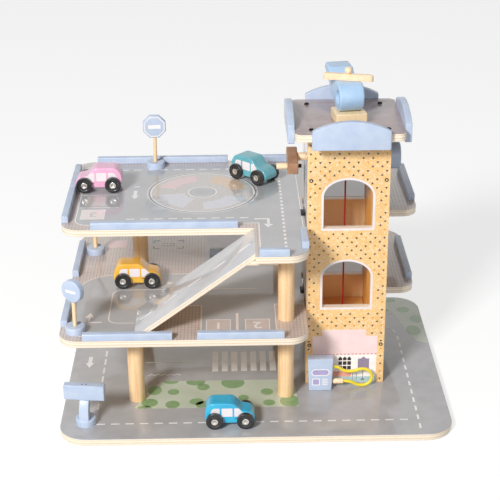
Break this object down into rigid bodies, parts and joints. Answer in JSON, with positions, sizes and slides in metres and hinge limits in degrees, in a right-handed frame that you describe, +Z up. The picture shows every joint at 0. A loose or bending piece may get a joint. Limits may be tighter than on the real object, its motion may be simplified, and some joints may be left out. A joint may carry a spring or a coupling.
{
  "type": "toy parking garage with lift",
  "caption": "Three-level wooden toy garage with a ramp, a crank-driven lift tower with an arched roof, loose cars, signs, a fuel pump and a helicopter.",
  "frame": {"origin": "middle of the underside of the base board", "axes": "+X to the lift tower side, +Y from the open front to the back, +Z up"},
  "size_m": [0.48, 0.375, 0.4166],
  "materials": {
    "base_print": "printed plywood road surface, satin varnish",
    "deck_print": "printed plywood road surface, satin varnish",
    "pine": "bare pine, fine sanded",
    "light_ply": "bare birch plywood",
    "blue_paint": "light blue water-based paint, satin",
    "ramp_print": "printed plywood road surface, satin varnish",
    "tower_print": "printed plywood, small triangles on cream, satin varnish",
    "tower_side_print": "printed plywood, fine squares on taupe, gloss varnish",
    "roof_print": "printed plywood, pale grey, satin varnish",
    "black_steel": "black coated steel",
    "brown_stain": "brown stained wood, satin",
    "red_cord": "braided cotton cord",
    "pink_paint": "pink water-based paint, gloss",
    "turquoise_paint": "turquoise water-based paint, gloss",
    "yellow_paint": "yellow water-based paint, gloss",
    "sky_paint": "sky blue water-based paint, gloss",
    "black_wheel": "black gloss paint on turned wood",
    "yellow_cord": "braided yellow cord"
  },
  "bodies": {
    "garage": {"base_board": "base_print", "deck_middle": "deck_print", "deck_top": "deck_print", "deck_posts": "pine", "deck_rails": "blue_paint", "ramp": "ramp_print", "ramp_ledge": "light_ply", "tower_front_panel": "tower_print", "tower_rear_panel": "tower_print", "tower_left_panel": "tower_side_print", "tower_right_panel": "tower_side_print", "shaft_guides": "pine", "deck_brackets": "black_steel", "roof_board": "roof_print", "fascia_front": "blue_paint", "fascia_rear": "blue_paint", "fascia_sides": "blue_paint", "tower_screws": "black_steel", "lift_cord": "red_cord"},
    "crank": {"crank_axle": "pine", "crank_arm": "brown_stain", "crank_handle": "pine", "handle_screw": "black_steel", "axle_disc": "blue_paint", "cord_winding": "red_cord"},
    "lift": {"cabin_floor": "pine", "cabin_roof": "pine", "cabin_sides": "pine", "cord_knot": "red_cord"},
    "helicopter": {"helicopter_body": "blue_paint", "helicopter_block": "light_ply", "rotor_pin": "pine"},
    "rotor": {"rotor_bar": "light_ply"},
    "stop_sign": {"stop_sign_base": "blue_paint", "stop_sign_post": "pine", "stop_sign_head": "blue_paint"},
    "round_sign": {"round_sign_base": "blue_paint", "round_sign_post": "pine", "round_sign_head": "blue_paint"},
    "triangle_sign": {"triangle_sign_base": "blue_paint", "triangle_sign_post": "pine", "triangle_sign_head": "blue_paint"},
    "barrier": {"barrier_base": "blue_paint", "barrier_post": "blue_paint", "barrier_board": "blue_paint"},
    "fuel_pump": {"pump_body": "blue_paint", "pump_nozzle": "light_ply", "pump_hose": "yellow_cord"},
    "pink_car": {"pink_car_body": "pink_paint"},
    "pink_car_rear_wheels": {"pink_car_rear_wheels": "black_wheel"},
    "pink_car_front_wheels": {"pink_car_front_wheels": "black_wheel"},
    "turquoise_car": {"turquoise_car_body": "turquoise_paint"},
    "turquoise_car_rear_wheels": {"turquoise_car_rear_wheels": "black_wheel"},
    "turquoise_car_front_wheels": {"turquoise_car_front_wheels": "black_wheel"},
    "yellow_car": {"yellow_car_body": "yellow_paint"},
    "yellow_car_rear_wheels": {"yellow_car_rear_wheels": "black_wheel"},
    "yellow_car_front_wheels": {"yellow_car_front_wheels": "black_wheel"},
    "blue_car": {"blue_car_body": "sky_paint"},
    "blue_car_rear_wheels": {"blue_car_rear_wheels": "black_wheel"},
    "blue_car_front_wheels": {"blue_car_front_wheels": "black_wheel"}
  },
  "joints": [
    {"name": "crank_turn", "type": "hinge", "parent": "garage", "child": "crank", "pos_m": [0.1155, -0.007, 0.3005], "axis": [-1, 0, 0], "range_deg": [0, 1928.49]},
    {"name": "lift_travel", "type": "slide", "parent": "garage", "child": "lift", "axis": [0, 0, 1], "range_m": [0, 0.2071], "deforming": ["lift_cord"]},
    {"name": "helicopter_lift_off", "type": "slide", "parent": "garage", "child": "helicopter", "axis": [0, 0, 1], "range_m": [0, 0.06]},
    {"name": "rotor_spin", "type": "hinge", "parent": "helicopter", "child": "rotor", "pos_m": [0.11589, -0.01458, 0.404], "axis": [0, 0, 1], "continuous": true},
    {"name": "pink_car_roll", "type": "slide", "parent": "garage", "child": "pink_car", "axis": [-1, 0, 0], "range_m": [-0.1, 0]},
    {"name": "pink_car_rear_wheels_spin", "type": "hinge", "parent": "pink_car", "child": "pink_car_rear_wheels", "pos_m": [-0.18085, 0.0855, 0.2358], "axis": [0, -1, 0], "range_deg": [-547.7, 2]},
    {"name": "pink_car_front_wheels_spin", "type": "hinge", "parent": "pink_car", "child": "pink_car_front_wheels", "pos_m": [-0.21835, 0.0855, 0.2358], "axis": [0, -1, 0], "range_deg": [-547.7, 2]},
    {"name": "turquoise_car_roll", "type": "slide", "parent": "garage", "child": "turquoise_car", "axis": [0.7361, -0.6769, 0], "range_m": [-0.04, 0.03]},
    {"name": "turquoise_car_rear_wheels_spin", "type": "hinge", "parent": "turquoise_car", "child": "turquoise_car_rear_wheels", "pos_m": [-0.0093, 0.12619, 0.2358], "axis": [0.6769, 0.7361, 0], "range_deg": [-220.3, 165.7]},
    {"name": "turquoise_car_front_wheels_spin", "type": "hinge", "parent": "turquoise_car", "child": "turquoise_car_front_wheels", "pos_m": [0.0183, 0.10081, 0.2358], "axis": [0.6769, 0.7361, 0], "range_deg": [-220.3, 165.7]},
    {"name": "yellow_car_roll", "type": "slide", "parent": "garage", "child": "yellow_car", "axis": [1, 0, 0], "range_m": [-0.04, 0.15]},
    {"name": "yellow_car_rear_wheels_spin", "type": "hinge", "parent": "yellow_car", "child": "yellow_car_rear_wheels", "pos_m": [-0.16825, 0.02, 0.1278], "axis": [0, 1, 0], "range_deg": [-220.3, 820.5]},
    {"name": "yellow_car_front_wheels_spin", "type": "hinge", "parent": "yellow_car", "child": "yellow_car_front_wheels", "pos_m": [-0.13075, 0.02, 0.1278], "axis": [0, 1, 0], "range_deg": [-220.3, 820.5]},
    {"name": "blue_car_roll", "type": "slide", "parent": "garage", "child": "blue_car", "axis": [1, 0, 0], "range_m": [-0.08, 0.15]},
    {"name": "blue_car_rear_wheels_spin", "type": "hinge", "parent": "blue_car", "child": "blue_car_rear_wheels", "pos_m": [-0.05075, -0.1525, 0.0198], "axis": [0, 1, 0], "range_deg": [-438.5, 820.5]},
    {"name": "blue_car_front_wheels_spin", "type": "hinge", "parent": "blue_car", "child": "blue_car_front_wheels", "pos_m": [-0.01325, -0.1525, 0.0198], "axis": [0, 1, 0], "range_deg": [-438.5, 820.5]},
    {"name": "stop_sign_lift_off", "type": "slide", "parent": "garage", "child": "stop_sign", "axis": [0, 0, 1], "range_m": [0, 0.05]},
    {"name": "round_sign_lift_off", "type": "slide", "parent": "garage", "child": "round_sign", "axis": [0, 0, 1], "range_m": [0, 0.05]},
    {"name": "triangle_sign_lift_off", "type": "slide", "parent": "garage", "child": "triangle_sign", "axis": [0, 0, 1], "range_m": [0, 0.025]},
    {"name": "barrier_lift_off", "type": "slide", "parent": "garage", "child": "barrier", "axis": [0, 0, 1], "range_m": [0, 0.04]},
    {"name": "fuel_pump_lift_off", "type": "slide", "parent": "garage", "child": "fuel_pump", "axis": [0, 0, 1], "range_m": [0, 0.05]}
  ],
  "couplings": [
    {"joint": "lift_travel", "follows": "crank_turn", "m_per_rad": 0.00615},
    {"joint": "pink_car_rear_wheels_spin", "follows": "pink_car_roll", "rad_per_m": 95.238},
    {"joint": "pink_car_front_wheels_spin", "follows": "pink_car_roll", "rad_per_m": 95.238},
    {"joint": "turquoise_car_rear_wheels_spin", "follows": "turquoise_car_roll", "rad_per_m": 95.238},
    {"joint": "turquoise_car_front_wheels_spin", "follows": "turquoise_car_roll", "rad_per_m": 95.238},
    {"joint": "yellow_car_rear_wheels_spin", "follows": "yellow_car_roll", "rad_per_m": 95.238},
    {"joint": "yellow_car_front_wheels_spin", "follows": "yellow_car_roll", "rad_per_m": 95.238},
    {"joint": "blue_car_rear_wheels_spin", "follows": "blue_car_roll", "rad_per_m": 95.238},
    {"joint": "blue_car_front_wheels_spin", "follows": "blue_car_roll", "rad_per_m": 95.238}
  ]
}
